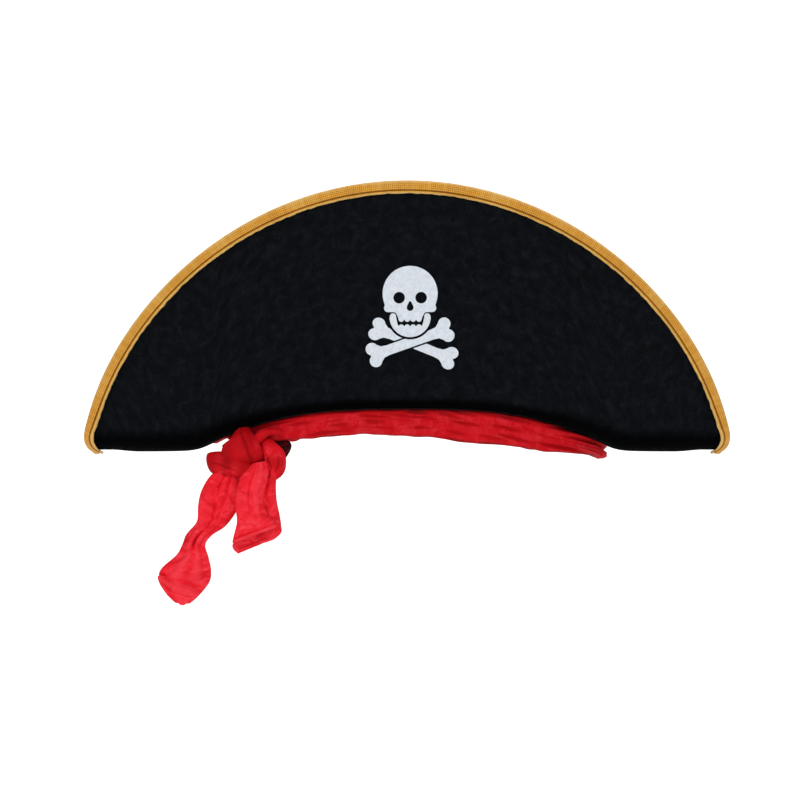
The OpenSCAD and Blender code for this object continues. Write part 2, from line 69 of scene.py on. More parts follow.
tape = dict(
    width=6.9,  # how far it covers each face
    thick=1.25,
    gap=0.35,
    groove=4.3,  # the sewn line's distance from the brim's edge
    bead=0.35,  # height of the cord along the inner edge
)
holeA = boxMm("crown_interlining")[1][0]  # half width of the hole in the brim
sashThick = 2.4
holeB = boxMm("sash_band")[1][1] - sashThick
edgeX = boxMm("right_tip_binding")[1][0] - tape["thick"] - tape["gap"]
edgeY = boxMm("back_binding")[1][1] - halfPly - 1.3
edgeZ = boxMm("back_binding")[1][2] - 1.65

brim = dict(
    outline=1.62,  # squareness of the half-moon
    archRise=30.0,
    archWidth=290.0,
    archBlend=4.0,
    foldFront=8.0,  # radius of the fold over the forehead
    foldWing=16.0,  # and along the wings
    hollow=3.0,
    floorPower=1.2,
    spreadPower=0.42,
    waves=0.55,  # soft unevenness of the foam
    columns=300,
    flapRows=84,
)


def smooth(t):
    c = np.clip(t, 0, 1)
    return c * c * (3 - 2 * c)


def softNoise(u, v, size, seed, waves=7):
    # a smooth uneven height from -1 to 1, its lumps about size across
    r = np.random.default_rng(seed)
    total = 0
    for k in range(waves):
        way = r.uniform(0, 2 * math.pi)
        length = size * r.uniform(0.7, 1.6)
        phase = r.uniform(0, 2 * math.pi)
        total = total + np.sin(2 * math.pi * (u * math.cos(way) + v * math.sin(way)) / length + phase)
    return total / math.sqrt(waves * 1.6)


def unit(v):
    return v / np.maximum(np.linalg.norm(v, axis=-1, keepdims=True), 1e-12)


# ---- the brim's middle surface: x along the hat, s across it from the middle line
def rimShare(x):
    return np.maximum(0, 1 - (x / edgeX) ** 2)


def floorZ(x):
    a = brim["archRise"] * (1 - (np.abs(x) / (brim["archWidth"] / 2)) ** 3)
    return halfPly + (a + np.sqrt(a * a + brim["archBlend"] ** 2)) / 2


def topZ(x):
    return halfPly + (edgeZ - halfPly) * rimShare(x) ** (1 / brim["outline"])


def holeY(x):
    return holeB * np.sqrt(np.maximum(0, 1 - (x / holeA) ** 2))


def foldY(x):
    return np.maximum(holeY(x), holeB * rimShare(x) ** brim["floorPower"])


def rise(x):
    return np.maximum(0.01, topZ(x) - floorZ(x))


def reach(x):
    return np.maximum(0.01, edgeY * rimShare(x) ** brim["spreadPower"] - foldY(x))


def foldR(x):
    blend = smooth((np.abs(x) - holeA * 0.6) / (holeA * 0.5))
    wanted = brim["foldFront"] + (brim["foldWing"] - brim["foldFront"]) * blend
    return np.minimum(wanted, np.minimum(0.7 * reach(x), 0.7 * rise(x)))


def flapLen(x):
    r = foldR(x)
    return np.sqrt(reach(x) ** 2 + (rise(x) - r) ** 2 - r * r)


def foldTurn(x):
    r = foldR(x)
    return np.arctan2(rise(x) - r, reach(x)) + math.pi / 2 - np.arctan2(flapLen(x), r)


def edgeS(x):
    return foldY(x) + foldR(x) * foldTurn(x) + flapLen(x)


def brimMiddle(x, s):
    side = np.where(s < 0, 1.0, -1.0)  # positive s is the front
    s = np.abs(s)
    r, turn, flap = foldR(x), foldTurn(x), flapLen(x)
    d = s - foldY(x)
    bent = r * turn
    a = np.clip(d, 0, bent) / r
    along = np.maximum(d - bent, 0)
    hollow = brim["hollow"] * flap / flapLen(0) * np.sin(math.pi * np.clip(along / flap, 0, 1))
    out = foldY(x) + np.minimum(d, 0) + r * np.sin(a) + along * np.cos(turn) - hollow
    up = floorZ(x) + r * (1 - np.cos(a)) + along * np.sin(turn)
    return np.stack([x + 0 * out, side * out, up], -1)


def brimWave(x, s):
    # fades out at the fold and under the binding, so that what is sewn there fits
    d = np.abs(s) - foldY(x)
    fade = smooth((d - 2) / 22) * smooth((edgeS(x) - np.abs(s) - 3) / 16)
    side = np.where(s < 0, 400.0, 0.0)
    wave = softNoise(x + side, s, 95, 3) + 0.22 * softNoise(x + side, s, 26, 4)
    return brim["waves"] * fade * wave


def brimPoint(x, s, off):
    e = 0.02
    du = brimMiddle(x + e, s) - brimMiddle(x - e, s)
    dv = brimMiddle(x, s + e) - brimMiddle(x, s - e)
    n = unit(np.cross(du, dv))
    pressed = 1 - 0.52 * smooth((np.abs(x) / edgeX - 0.83) / 0.1)  # gathered thinner at the tips
    return brimMiddle(x, s) + n * (off * pressed + brimWave(x, s))[..., None]


def sAtHeight(x, z):
    low, high = foldY(x), edgeS(x)
    for k in range(40):
        middle = (low + high) / 2
        below = brimMiddle(x, middle)[..., 2] < z
        low = np.where(below, middle, low)
        high = np.where(below, high, middle)
    return (low + high) / 2


def roundTips(points):
    # the corners at the two tips are drawn in and round
    x, z = points[..., 0], points[..., 2]
    low = np.clip((13 - z) / 13, 0, 1)
    drawn = 6.5 * (1 - np.sqrt(1 - 0.97 * low * low)) * smooth((np.abs(x) - 192) / 26)
    points = points.copy()
    points[..., 0] = x - np.sign(x) * drawn
    return points


# ---- meshes from grids of points
def makePiece(name, points, faces, material, lay=None, paintedShading=None):
    mesh = bpy.data.meshes.new(name)
    mesh.from_pydata((np.asarray(points) * mm).tolist(), [], [list(f) for f in faces])
    mesh.validate()
    if lay is not None:
        mesh.attributes.new("lay", "FLOAT_VECTOR", "POINT").data.foreach_set(
            "vector", np.asarray(lay, np.float32).ravel()
        )
    if paintedShading is not None:  # painted shading: painted shade growing with how far down in a crease, and painted highlight below 0 on a ridge
        mesh.attributes.new("paintedShading", "FLOAT", "POINT").data.foreach_set(
            "value", np.clip(paintedShading, -1, 1).astype(np.float32).ravel()
        )
    mesh.polygons.foreach_set("use_smooth", [True] * len(mesh.polygons))
    mesh.materials.append(material)
    piece = bpy.data.objects.new(name, mesh)
    bpy.context.scene.collection.objects.link(piece)
    return piece


def gridFaces(rows, cols, loop=False, start=0, flip=False):
    faces = []
    for i in range(rows if loop else rows - 1):
        a, b = start + i * cols, start + (i + 1) % rows * cols
        for j in range(cols - 1):
            f = (a + j, b + j, b + j + 1, a + j + 1)
            faces.append(f[::-1] if flip else f)
    return faces


def layFor(grid):
    # distances along and across a grid of points
    along = np.linalg.norm(np.diff(grid, axis=0), axis=-1).mean(1)
    across = np.linalg.norm(np.diff(grid, axis=1), axis=-1)
    u = np.concatenate([[0], np.cumsum(along)])[:, None] + np.zeros(grid.shape[:2])
    v = np.concatenate([np.zeros((grid.shape[0], 1)), np.cumsum(across, 1)], 1)
    return np.stack([u, v, 0 * u], -1)


def slabPiece(name, low, high, material, loop=False, paintedShading=None):
    # a closed sheet between two grids; loop joins the last row to the first
    rows, cols = high.shape[:2]
    size = rows * cols
    faces = gridFaces(rows, cols, loop, size) + gridFaces(rows, cols, loop, 0, True)
    for i in range(rows if loop else rows - 1):
        a, b = i * cols, (i + 1) % rows * cols
        faces.append((a, b, b + size, a + size))
        faces.append((a + cols - 1 + size, b + cols - 1 + size, b + cols - 1, a + cols - 1))
    if not loop:
        last = (rows - 1) * cols
        for j in range(cols - 1):
            faces.append((j + size, j + 1 + size, j + 1, j))
            faces.append((last + j, last + j + 1, last + j + 1 + size, last + j + size))
    lay = layFor(high)
    points = np.concatenate([low.reshape(-1, 3), high.reshape(-1, 3)])
    if paintedShading is not None:
        paintedShading = np.concatenate([paintedShading.ravel()] * 2)
    return makePiece(name, points, faces, material, np.concatenate([lay.reshape(-1, 3)] * 2), paintedShading)


# ---- shader node groups
def newGroup(name, inputs, outputs):
    tree = bpy.data.node_groups.new(name, "ShaderNodeTree")
    for label, kind, value in inputs:
        socket = tree.interface.new_socket(label, in_out="INPUT", socket_type=kind)
        if value is not None:
            socket.default_value = value
    for label, kind in outputs:
        tree.interface.new_socket(label, in_out="OUTPUT", socket_type=kind)
    return tree, tree.nodes.new("NodeGroupInput"), tree.nodes.new("NodeGroupOutput")


def addNode(tree, kind, links=None, **values):
    node = tree.nodes.new(kind)
    for key, value in values.items():
        if hasattr(node, key) and key not in node.inputs:
            setattr(node, key, value)
        else:
            node.inputs[key.replace("_", " ")].default_value = value
    for socket, source in (links or {}).items():
        tree.links.new(source, node.inputs[socket])
    return node


def maths(tree, operation, a, b=None, c=None):
    node = tree.nodes.new("ShaderNodeMath")
    node.operation = operation
    for i, value in enumerate((a, b, c)):
        if value is None:
            continue
        if hasattr(value, "links"):
            tree.links.new(value, node.inputs[i])
        else:
            node.inputs[i].default_value = value
    return node.outputs[0]


def noise(tree, vector, scale, detail, rough, twist=0.0):
    values = dict(Detail=detail, Roughness=rough, Distortion=twist)
    links = {"Vector": vector}
    if hasattr(scale, "links"):
        links["Scale"] = scale
    else:
        values["Scale"] = scale
    return addNode(tree, "ShaderNodeTexNoise", links, **values).outputs["Fac"]


def blendOf(tree, a, shareA, b, shareB):
    return maths(tree, "ADD", maths(tree, "MULTIPLY", a, shareA), maths(tree, "MULTIPLY", b, shareB))


def napGroup():
    # a brushed pile: broad patches that lie one way or another, and the fine tips of the fibres
    tree, given, out = newGroup(
        "brushed nap",
        [
            ("Vector", "NodeSocketVector", None),
            ("Patch", "NodeSocketFloat", 18.0),
            ("Fibre", "NodeSocketFloat", 0.7),
        ],
        [("Patches", "NodeSocketFloat"), ("Height", "NodeSocketFloat")],
    )
    patchScale = maths(tree, "DIVIDE", 1.0, given.outputs["Patch"])
    fibreScale = maths(tree, "DIVIDE", 1.0, given.outputs["Fibre"])
    vector = given.outputs["Vector"]
    broad = noise(tree, vector, patchScale, detail=5.0, rough=0.62, twist=0.6)
    fine = noise(tree, vector, fibreScale, detail=3.0, rough=0.7)
    both = blendOf(tree, broad, 0.55, fine, 0.45)
    spread = addNode(tree, "ShaderNodeMapRange", {"Value": both}, From_Min=0.36, From_Max=0.64)
    tree.links.new(spread.outputs["Result"], out.inputs["Patches"])
    tree.links.new(blendOf(tree, fine, 0.6, broad, 0.8), out.inputs["Height"])
    return tree


def weaveGroup():
    # threads crossing at right angles, turned by Angle; U along, V across
    tree, given, out = newGroup(
        "crossing threads",
        [
            ("Vector", "NodeSocketVector", None),
            ("Thread", "NodeSocketFloat", 0.8),
            ("Angle", "NodeSocketFloat", 0.0),
        ],
        [("Threads", "NodeSocketFloat"), ("Height", "NodeSocketFloat"), ("Glint", "NodeSocketFloat")],
    )
    links = {"Vector": given.outputs["Vector"], "Angle": given.outputs["Angle"]}
    turned = addNode(tree, "ShaderNodeVectorRotate", links, rotation_type="Z_AXIS")
    parts = addNode(tree, "ShaderNodeSeparateXYZ", {"Vector": turned.outputs["Vector"]})
    turns = maths(tree, "DIVIDE", math.pi, given.outputs["Thread"])
    u = maths(tree, "MULTIPLY", parts.outputs["X"], turns)
    v = maths(tree, "MULTIPLY", parts.outputs["Y"], turns)
    over = maths(tree, "MULTIPLY", maths(tree, "SINE", u), maths(tree, "SINE", v))
    lift = maths(tree, "ABSOLUTE", over)
    ridge = maths(tree, "POWER", lift, 0.55)
    fleck = noise(tree, given.outputs["Vector"], 1.7, detail=2.0, rough=0.6)
    glint = addNode(tree, "ShaderNodeMapRange", {"Value": fleck}, From_Min=0.52, From_Max=0.7)
    tree.links.new(maths(tree, "MULTIPLY_ADD", over, 0.5, 0.5), out.inputs["Threads"])
    tree.links.new(ridge, out.inputs["Height"])
    tree.links.new(glint.outputs["Result"], out.inputs["Glint"])
    return tree


def crushGroup():
    # crushed velvet: creases where the pile is pressed flat, long along the cloth
    tree, given, out = newGroup(
        "crushed pile",
        [("Vector", "NodeSocketVector", None), ("Crush", "NodeSocketFloat", 9.0)],
        [("Pressed", "NodeSocketFloat"), ("Height", "NodeSocketFloat")],
    )
    stretch = addNode(tree, "ShaderNodeVectorMath", {0: given.outputs["Vector"]}, operation="MULTIPLY")
    stretch.inputs[1].default_value = (1.0, 0.62, 1.0)
    scale = maths(tree, "DIVIDE", 1.0, given.outputs["Crush"])
    broad = noise(tree, stretch.outputs[0], scale, detail=6.0, rough=0.66, twist=1.1)
    vein = maths(tree, "ABSOLUTE", maths(tree, "SUBTRACT", broad, 0.5))
    crease = addNode(tree, "ShaderNodeMapRange", {"Value": vein}, From_Min=0.0, From_Max=0.13)
    fine = noise(tree, given.outputs["Vector"], 1.4, detail=3.0, rough=0.7)
    tone = blendOf(tree, broad, 0.7, fine, 0.3)
    pressed = addNode(tree, "ShaderNodeMapRange", {"Value": tone}, From_Min=0.36, From_Max=0.64)
    tree.links.new(pressed.outputs["Result"], out.inputs["Pressed"])
    tree.links.new(blendOf(tree, crease.outputs["Result"], 0.5, fine, 0.35), out.inputs["Height"])
    return tree


nap, weave, crush = napGroup(), weaveGroup(), crushGroup()


# ---- materials
def startMaterial(name, **values):
    material = bpy.data.materials.new(name)
    material.use_nodes = True
    tree = material.node_tree
    shader = tree.nodes["Principled BSDF"]
    for key, value in values.items():
        shader.inputs[key.replace("_", " ")].default_value = value
    lay = tree.nodes.new("ShaderNodeAttribute")
    lay.attribute_name = "lay"
    return material, tree, shader, lay.outputs["Vector"]


def placeGroup(tree, group, vector, **values):
    node = tree.nodes.new("ShaderNodeGroup")
    node.node_tree = group
    tree.links.new(vector, node.inputs["Vector"])
    for key, value in values.items():
        node.inputs[key].default_value = value
    return node


def ramp(tree, fac, *stops):
    node = tree.nodes.new("ShaderNodeValToRGB")
    while len(node.color_ramp.elements) < len(stops):
        node.color_ramp.elements.new(0.5)
    for element, (at, colour) in zip(node.color_ramp.elements, stops):
        element.position = at
        element.color = (*colour, 1)
    tree.links.new(fac, node.inputs["Fac"])
    return node.outputs["Color"]


def bump(tree, shader, height, strength, distance):
    node = addNode(tree, "ShaderNodeBump", {"Height": height}, Strength=strength, Distance=distance)
    tree.links.new(node.outputs["Normal"], shader.inputs["Normal"])


def attribute(tree, name):
    node = tree.nodes.new("ShaderNodeAttribute")
    node.attribute_name = name
    return node.outputs["Fac"]


def tinted(tree, share, colour, tint):
    node = addNode(tree, "ShaderNodeMix", {"Factor": share, 6: colour}, data_type="RGBA")
    node.inputs[7].default_value = (*tint, 1)
    return node.outputs[2]


def ranged(tree, value, **limits):
    return addNode(tree, "ShaderNodeMapRange", {"Value": value}, **limits).outputs["Result"]


velourLook = dict(
    dark=(0.0008, 0.0012, 0.0019),
    mid=(0.0018, 0.0027, 0.0040),
    pale=(0.0052, 0.0070, 0.0100),
    under=(0.0004, 0.0005, 0.0007),  # painted shade where the brim turns under
    patch=7.0,
    fibre=1.1,
)


def blackVelour():
    look = velourLook
    material, tree, shader, lay = startMaterial(
        "black velour",
        Roughness=0.85,
        Specular_IOR_Level=0.07,
        Sheen_Weight=0.035,
        Sheen_Roughness=0.4,
        Sheen_Tint=(0.42, 0.5, 0.68, 1),
    )
    pile = placeGroup(tree, nap, lay, Patch=look["patch"], Fibre=look["fibre"])
    colour = ramp(tree, pile.outputs["Patches"], (0.0, look["dark"]), (0.55, look["mid"]), (1.0, look["pale"]))
    # painted shade: where the brim turns under, the colour is mixed towards the under colour and the specular
    # and sheen are turned down
    turned = attribute(tree, "paintedShading")
    tree.links.new(tinted(tree, turned, colour, look["under"]), shader.inputs["Base Color"])
    tree.links.new(maths(tree, "MULTIPLY_ADD", turned, -0.06, 0.07), shader.inputs["Specular IOR Level"])
    tree.links.new(maths(tree, "MULTIPLY_ADD", turned, -0.03, 0.035), shader.inputs["Sheen Weight"])
    rough = ranged(tree, pile.outputs["Patches"], To_Min=0.95, To_Max=0.72)
    tree.links.new(rough, shader.inputs["Roughness"])
    bump(tree, shader, pile.outputs["Height"], 0.5, 0.0004)
    return material


def redVelvet():
    material, tree, shader, lay = startMaterial(
        "red crushed velvet",
        Roughness=0.6,
        Specular_IOR_Level=0.1,
        Sheen_Weight=0.16,
        Sheen_Roughness=0.3,
        Sheen_Tint=(1.0, 0.12, 0.16, 1),
    )
    pile = placeGroup(tree, crush, lay, Crush=8.0)
    pressed, mid, loose = (0.64, 0.002, 0.008), (0.90, 0.010, 0.024), (1.0, 0.060, 0.085)
    colour = ramp(tree, pile.outputs["Pressed"], (0.0, pressed), (0.5, mid), (1.0, loose))
    fac = attribute(tree, "paintedShading")
    tones = (
        (maths(tree, "MULTIPLY", fac, -1.0), (1.0, 0.055, 0.080)),  # painted highlight on the ridges
        (maths(tree, "MULTIPLY", fac, 2.0), (0.46, 0.0008, 0.004)),  # painted shade on the sides of a crease
        (maths(tree, "MULTIPLY_ADD", fac, 2.0, -1.0), (0.030, 0.0, 0.0006)),  # painted shade at its bottom
    )
    for share, tint in tones:
        colour = tinted(tree, share, colour, tint)
    tree.links.new(colour, shader.inputs["Base Color"])
    # the sheen is turned up on the painted highlights and down in the painted shade
    sheen = ranged(tree, fac, From_Min=-0.2, From_Max=0.6, To_Min=0.2, To_Max=0.02)
    tree.links.new(sheen, shader.inputs["Sheen Weight"])
    rough = ranged(tree, pile.outputs["Pressed"], To_Min=0.8, To_Max=0.5)
    tree.links.new(rough, shader.inputs["Roughness"])
    bump(tree, shader, pile.outputs["Height"], 0.55, 0.0006)
    return material


def goldTape():
    material, tree, shader, lay = startMaterial(
        "gold woven tape", Roughness=0.45, Metallic=0.12, Specular_IOR_Level=0.35
    )
    threads = placeGroup(tree, weave, lay, Thread=0.95, Angle=0.785)
    shadow, thread, crown = (0.33, 0.10, 0.003), (0.78, 0.31, 0.011), (0.95, 0.50, 0.045)
    colour = ramp(tree, threads.outputs["Threads"], (0.0, shadow), (0.45, thread), (1.0, crown))
    glints = maths(tree, "MULTIPLY", threads.outputs["Glint"], 0.7)
    colour = tinted(tree, glints, colour, (1.0, 0.66, 0.17))
    tone = attribute(tree, "paintedShading")  # painted light: 0 is a painted highlight on the pale selvedge, 0.3 between, 1 painted shade in the sewn groove
    # painted shade in the sewn groove
    grooveShade = ranged(tree, tone, From_Min=0.3, From_Max=1.0, To_Max=0.85)
    colour = tinted(tree, grooveShade, colour, (0.20, 0.055, 0.002))
    # painted highlight along the selvedge
    selvedgeHighlight = ranged(tree, tone, From_Min=0.0, From_Max=0.3, To_Min=0.75, To_Max=0.0)
    colour = tinted(tree, selvedgeHighlight, colour, (1.0, 0.66, 0.21))
    tree.links.new(colour, shader.inputs["Base Color"])
    bump(tree, shader, threads.outputs["Height"], 0.8, 0.0005)
    return material


def whitePrint():
    material, tree, shader, lay = startMaterial("white printed ink", Roughness=0.75, Specular_IOR_Level=0.3)
    pile = placeGroup(tree, nap, lay, Patch=3.0, Fibre=0.6)
    worn, mid, fresh = (0.58, 0.63, 0.70), (0.70, 0.75, 0.81), (0.80, 0.84, 0.90)
    colour = ramp(tree, pile.outputs["Patches"], (0.0, worn), (0.6, mid), (1.0, fresh))
    tree.links.new(colour, shader.inputs["Base Color"])
    bump(tree, shader, pile.outputs["Height"], 0.4, 0.0003)
    return material


def plainCloth(name, dark, pale, thread, roughness=0.85):
    material, tree, shader, lay = startMaterial(
        name, Roughness=roughness, Specular_IOR_Level=0.25, Sheen_Weight=0.1
    )
    threads = placeGroup(tree, weave, lay, Thread=thread)
    pile = placeGroup(tree, nap, lay, Patch=12.0, Fibre=0.9)
    patches = maths(tree, "MULTIPLY", pile.outputs["Patches"], 0.55)
    both = maths(tree, "MULTIPLY_ADD", threads.outputs["Threads"], 0.45, patches)
    tree.links.new(ramp(tree, both, (0.0, dark), (1.0, pale)), shader.inputs["Base Color"])
    bump(tree, shader, threads.outputs["Height"], 0.5, 0.0003)
    return material


print("making materials")
velour = blackVelour()
velvet = redVelvet()
gold = goldTape()
ink = whitePrint()
foamCloth = plainCloth("grey sheet foam", (0.03, 0.03, 0.032), (0.06, 0.06, 0.064), 0.9)
liningCloth = plainCloth("black nonwoven lining", (0.008, 0.008, 0.009), (0.022, 0.022, 0.025), 0.6)
bandCloth = plainCloth("black ribbed sweatband", (0.006, 0.006, 0.007), (0.02, 0.02, 0.022), 1.4)
satin = plainCloth("white label satin", (0.62, 0.62, 0.60), (0.75, 0.75, 0.73), 0.35, 0.45)


# ---- the brim: velour, foam and facing, front and back
def brimGrid(side):
    phi = np.linspace(-86.5, 86.5, brim["columns"]) * math.pi / 180
    x = edgeX * np.sin(phi)
    low = np.where(np.abs(x) < holeA, holeY(x), 0) + 0.12
    fold = np.maximum(foldY(x), low + 0.05)
    bent = fold + foldR(x) * foldTurn(x)
    edge = edgeS(x)
    spans = [(low, fold, 8), (fold, bent, 14), (bent, edge, brim["flapRows"])]
    cols = [a + (b - a) * t for a, b, n in spans for t in np.linspace(0, 1, n, endpoint=False)] + [edge]
    s = np.stack(cols, 1)
    return x[:, None] + 0 * s, s * side


def brimLayer(name, side, low, high, material):
    x, s = brimGrid(side)
    grids = [roundTips(brimPoint(x, s, np.full(s.shape, off))) for off in (low, high)]
    height = (grids[1][..., 2] - floorZ(x) + halfPly) / foldR(x)
    paintedShading = 0.92 * smooth((1.15 - height) / 0.7)  # painted shade where the fold turns under
    if side < 0:
        grids = grids[::-1]
    return slabPiece(name, grids[0], grids[1], material, paintedShading=paintedShading)


def bendWithFlap(piece):
    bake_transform(piece)


print("making the brim")
for label, side in (("front", 1), ("back", -1)):
    sizes = dict(
        velour=(cloth["foam"] / 2, halfPly, velour),
        foam=(-cloth["foam"] / 2, cloth["foam"] / 2, foamCloth),
        facing=(-halfPly, -cloth["foam"] / 2, velour),
    )
    for layer, (low, high, material) in sizes.items():
        piece = brimLayer(f"{label}_brim_{layer}", side, low, high, material)
        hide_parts(f"{label}_base_{layer}", f"{label}_flap_{layer}")
        bendWithFlap(piece)


# ---- gold binding
def edgeFlat(phi):
    x = edgeX * np.sin(phi)
    return x, np.where(np.cos(phi) < 0, -1.0, 1.0) * edgeS(x)


def edgeAt(phi):
    return brimMiddle(*edgeFlat(phi))


def edgeAxes(phi):
    d = math.radians(0.8)
    along = unit(edgeAt(phi + d) - edgeAt(phi - d))
    xa, sa = edgeFlat(phi + d)
    xb, sb = edgeFlat(phi - d)
    run = np.stack([xa - xb, sa - sb], -1)
    turned = unit(np.stack([run[:, 1], -run[:, 0]], -1))
    x, s = edgeFlat(phi)
    inner = brimMiddle(x + turned[:, 0] * tape["width"], s + turned[:, 1] * tape["width"]) - edgeAt(phi)
    inwards = unit(inner - (inner * along).sum(-1, keepdims=True) * along)
    return along, inwards, np.cross(inwards, along)


def tapeProfile():
    # (inwards, out) points round the tape's outer face, lip to lip, and back along its inner face
    h = halfPly + tape["gap"]
    q = np.concatenate([np.linspace(tape["width"], 3.4, 22), np.linspace(3.2, 0.6, 8)])
    body = tape["thick"] + 0.12 * np.sin(math.pi * np.clip(q / tape["groove"], 0, 1))
    groove = 0.75 * np.exp(-(((q - tape["groove"]) / 0.42) ** 2))
    ridge = tape["bead"] * np.exp(-(((q - tape["groove"] - 1.7) / 0.5) ** 2))
    lip = np.sqrt(np.clip((tape["width"] - q) / 0.9, 0, 1))
    top = (body - groove + ridge) * lip + 0.05
    face = np.stack([q, h + top], -1)
    a = np.linspace(math.pi / 2, -math.pi / 2, 15)[1:-1]
    reachOut = tape["gap"] + tape["thick"]
    roll = np.stack([0.6 - (0.6 + reachOut) * np.cos(a), (h + tape["thick"]) * np.sin(a)], -1)
    half = np.array([[tape["width"] - 0.1, h], [4, h], [0.5, h], [-tape["gap"], h * 0.5]])
    inner = np.concatenate([half * [1, -1], half[::-1]])
    outer = np.concatenate([face, roll, face[::-1] * [1, -1]])
    # painted light along the profile: painted shade in the sewn groove, painted highlight over the bead and
    # the selvedge beyond it and towards the roll's outermost edge, 0.3 elsewhere
    tone = 0.3 + 0.7 * np.exp(-(((q - tape["groove"]) / 0.55) ** 2))
    tone = tone - 0.3 * smooth((q - tape["groove"] - 0.9) / 0.5)
    tone = np.concatenate([tone, 0.3 - 0.2 * np.cos(a) ** 2, tone[::-1], 0.3 + 0 * inner[:, 0]])
    return outer, inner, tone


def bindingPiece(name, start, stop, material, stations=520):
    phi = np.radians(np.linspace(start, stop, stations))
    along, inwards, out = edgeAxes(phi)
    base = edgeAt(phi)
    u = np.concatenate([[0], np.cumsum(np.linalg.norm(np.diff(base, axis=0), axis=1))])
    outer, inner, tone = tapeProfile()
    ring = np.concatenate([outer, inner])
    count = len(ring)
    wobble = 0.22 * softNoise(u, 0 * u, 9, 11) + 0.12 * softNoise(u, 0 * u, 3.5, 12)
    q = np.repeat(ring[None, :, 0], stations, 0)
    q = q + wobble[:, None] * smooth((q - tape["groove"]) / 2)
    points = base[:, None] + q[..., None] * inwards[:, None] + ring[None, :, 1, None] * out[:, None]
    v = np.concatenate([[0], np.cumsum(np.linalg.norm(np.diff(ring, axis=0), axis=1))])
    lay = np.stack([u[:, None] + 0 * v, v + 0 * u[:, None], 0 * u[:, None] + 0 * v], -1)
    faces = []
    for i in range(stations - 1):
        for j in range(count):
            a, b = i * count + j, i * count + (j + 1) % count
            faces.append((a, a + count, b + count, b))
    last = (stations - 1) * count
    split = len(outer)
    for k in range(split - 1):  # the two cut ends
        t0, t1 = k / (split - 1), (k + 1) / (split - 1)
        i0 = count - 1 - round(t0 * (len(inner) - 1))
        i1 = count - 1 - round(t1 * (len(inner) - 1))
        cap = [k, k + 1, i1] + ([i0] if i0 != i1 else [])
        faces.append(tuple(cap))
        faces.append(tuple(last + c for c in cap[::-1]))
    # the profile's painted shade and highlight, with a little uneven tone along the tape
    uneven = 0.06 * softNoise(u, 0 * u, 4, 13) + 0.05 * softNoise(u, 0 * u, 31, 14)
    paintedShading = tone[None] + uneven[:, None]
    return makePiece(name, roundTips(points).reshape(-1, 3), faces, material, lay.reshape(-1, 3), paintedShading)


def printOn(name):
    # the ink film is refined and laid on the velour's soft surface
    source = bmesh.new()
    source.from_mesh(frame["nodes"][name].data)
    bmesh.ops.remove_doubles(source, verts=source.verts, dist=1e-6)
    bmesh.ops.triangulate(source, faces=source.faces)
    for k in range(6):
        longEdges = [e for e in source.edges if e.calc_length() > 0.0016]
        if not longEdges:
            break
        bmesh.ops.subdivide_edges(source, edges=longEdges, cuts=1)
        bmesh.ops.triangulate(source, faces=source.faces)
    source.verts.ensure_lookup_table()
    points = np.array([v.co[:] for v in source.verts]) / mm
    s = sAtHeight(points[:, 0], points[:, 2])
    e = 0.02
    du = brimMiddle(points[:, 0] + e, s) - brimMiddle(points[:, 0] - e, s)
    dv = brimMiddle(points[:, 0], s + e) - brimMiddle(points[:, 0], s - e)
    n = unit(np.cross(du, dv))
    height = ((points - brimMiddle(points[:, 0], s)) * n).sum(1)
    film = np.where(height > halfPly + 0.3, 0.3, 0.02)
    shift = halfPly + film + brimWave(points[:, 0], s) - height
    points = points + n * shift[:, None]
    faces = [[v.index for v in f.verts] for f in source.faces]
    source.free()
    lay = np.stack([points[:, 0], points[:, 2], 0 * s], -1)
    piece = makePiece("ink_" + name, points, faces, ink, lay)
    piece.data.polygons.foreach_set("use_smooth", [False] * len(piece.data.polygons))
    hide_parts(name)
    return piece


print("laying the print on the front flap")
for name in ("print_cranium", "print_jaw", "print_bone_over", "print_bone_under"):
    bendWithFlap(printOn(name))

print("making the binding")
frontTape = bindingPiece("front_gold_binding", -89.9, 89.9, gold)
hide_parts("front_binding", "left_tip_binding", "right_tip_binding")
backTape = bindingPiece("back_gold_binding", 90.1, 269.9, gold)
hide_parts("back_binding")
for piece, flap in ((frontTape, "front_flap"), (backTape, "back_flap")):
    bendWithFlap(piece)

# ---- crown
crown = dict(
    top=boxMm("crown_top")[1][2] - 1.075,
    swell=4.0,
    power=3.0,
    seamUp=0.605,  # where the wall meets the top panel
    steps=180,
)
knotRise = 12  # how far the band and the hems inside it run up behind the knot


def foot(a):
    return floorZ(holeA * np.cos(a)) - halfPly


def belowPoint(a, z, off):
    n = unit(np.stack([holeB * np.cos(a), holeA * np.sin(a), 0 * a], -1))
    return np.stack([holeA * np.cos(a), holeB * np.sin(a), z + 0 * a], -1) + n * np.asarray(off)[..., None]


def crownMiddle(a, up):
    g = np.sin(math.pi / 2 * np.clip(up, 0, 1)) ** (2 / crown["power"])
    r = np.maximum(0, np.cos(math.pi / 2 * up)) ** (2 / crown["power"])
    swell = crown["swell"] * np.sin(math.pi * g)
    z = foot(a) * (1 - g) + crown["top"] * g
    return np.stack([r * holeA * np.cos(a), r * (holeB + swell) * np.sin(a), z], -1)


def crownPoint(a, up, off):
    da, du = 0.008, 0.002
    sideways = crownMiddle(a + da, up) - crownMiddle(a - da, up)
    upward = crownMiddle(a, up + du) - crownMiddle(a, np.maximum(up - du, 0))
    n = unit(np.cross(sideways, upward))
    n = np.where((up > 0.995)[..., None], [0, 0, 1.0], n)
    return crownMiddle(a, up) + n * np.asarray(off)[..., None]


def sashLowZ(a):
    x = holeA * np.cos(a) + 25
    return np.minimum(12 - (np.sqrt(x * x + 625) - 25) * math.tan(math.radians(6.5)), foot(a) - 13)


def knotLift(a):
    # 1 behind the knot, 0 elsewhere
    return smooth((-np.cos(a) - 0.86) / 0.09)


